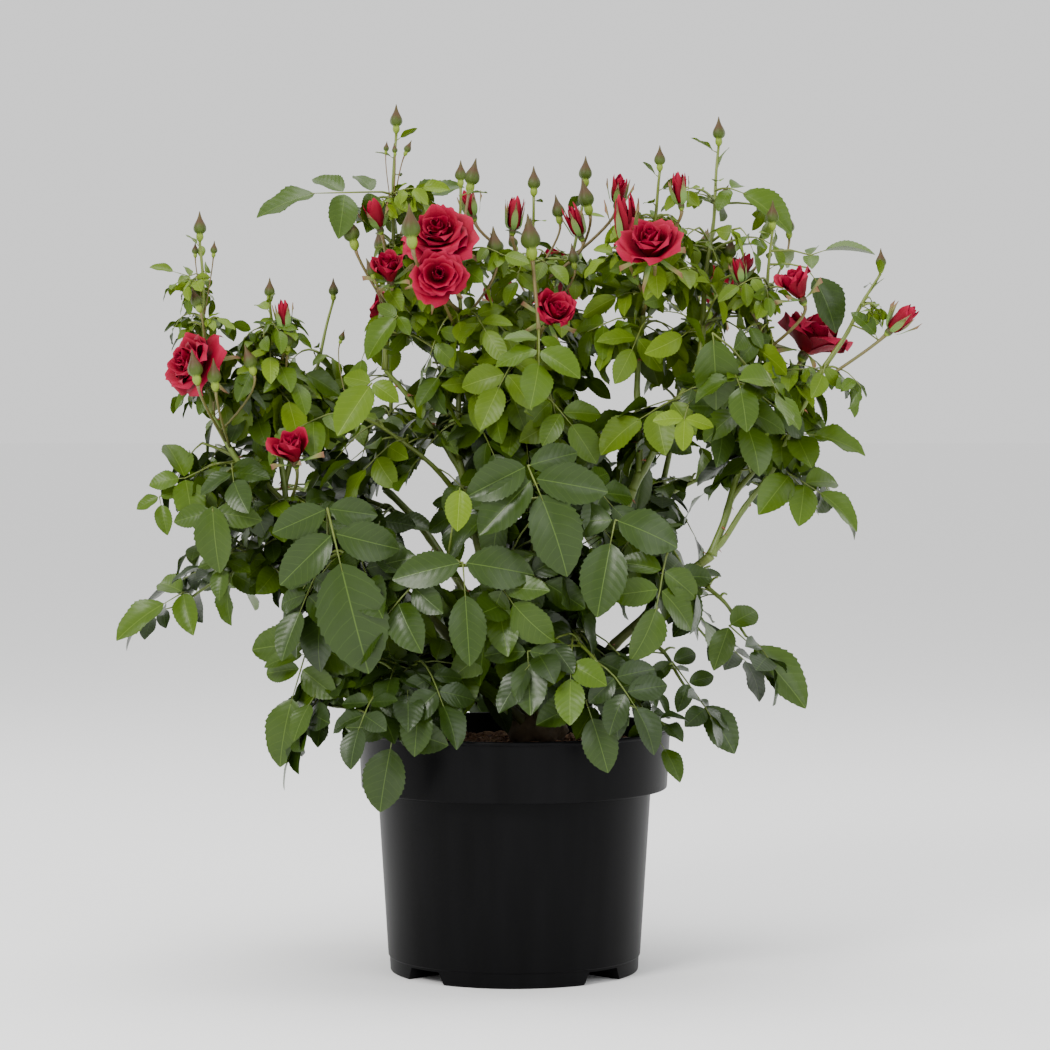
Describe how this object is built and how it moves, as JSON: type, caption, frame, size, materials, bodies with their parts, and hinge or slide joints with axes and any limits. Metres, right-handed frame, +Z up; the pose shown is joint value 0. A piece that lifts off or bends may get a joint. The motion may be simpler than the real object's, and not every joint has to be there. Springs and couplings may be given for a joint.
{
  "type": "potted rose bush",
  "caption": "Bushy shrub rose in leaf, bud and crimson bloom, its green canes rising from a knobbly rootstock in a round, tapered black nursery pot with a deep collar.",
  "frame": {"origin": "centre of the pot's flat underside, on the surface that it stands on", "axes": "+Z up, +X to the plant's right as seen from its front, -Y towards the front"},
  "size_m": [0.6712, 0.4475, 0.7164],
  "materials": {
    "pot_plastic": "satin black moulded plastic",
    "compost": "rough fibrous bark and peat",
    "old_wood": "matt knobbly bark",
    "cane": "smooth green-brown bark",
    "bough": "smooth green bark",
    "foliage": "semi-gloss leaves, velvety crimson petals"
  },
  "bodies": {
    "root": {"arching_bough": "bough", "back_fan": "foliage", "back_left_fan": "foliage", "back_left_low": "foliage", "back_left_top": "foliage", "back_low": "foliage", "back_right_fan": "foliage", "back_right_low": "foliage", "back_right_top": "foliage", "back_top": "foliage", "cane_back_left": "cane", "cane_back_right": "cane", "cane_centre": "cane", "cane_centre_left": "cane", "cane_centre_right": "cane", "cane_front": "cane", "cane_front_left": "cane", "cane_left": "cane", "cane_right": "cane", "centre_right_bough": "bough", "centre_top": "foliage", "centre_top_right": "foliage", "crimson_cluster": "foliage", "front_foot": "foliage", "front_low": "foliage", "front_middle": "foliage", "front_upper": "foliage", "leaning_bough": "bough", "left_bud_spray": "foliage", "left_fan": "foliage", "left_foot": "foliage", "left_inner": "foliage", "left_low_fan": "foliage", "left_outer_bough": "bough", "left_shoulder": "foliage", "left_skirt": "foliage", "left_spire": "foliage", "left_thin_spire": "foliage", "left_upper_bough": "bough", "pot": "pot_plastic", "right_cluster": "foliage", "right_fan": "foliage", "right_foot": "foliage", "right_front": "foliage", "right_hanging": "foliage", "right_inner": "foliage", "right_low": "foliage", "right_outer_bough": "bough", "right_spire": "foliage", "right_tip_spray": "foliage", "right_upper_bough": "bough", "root_ball": "compost", "rootstock": "old_wood", "top_left_spire": "foliage", "top_right": "foliage"}
  },
  "joints": []
}
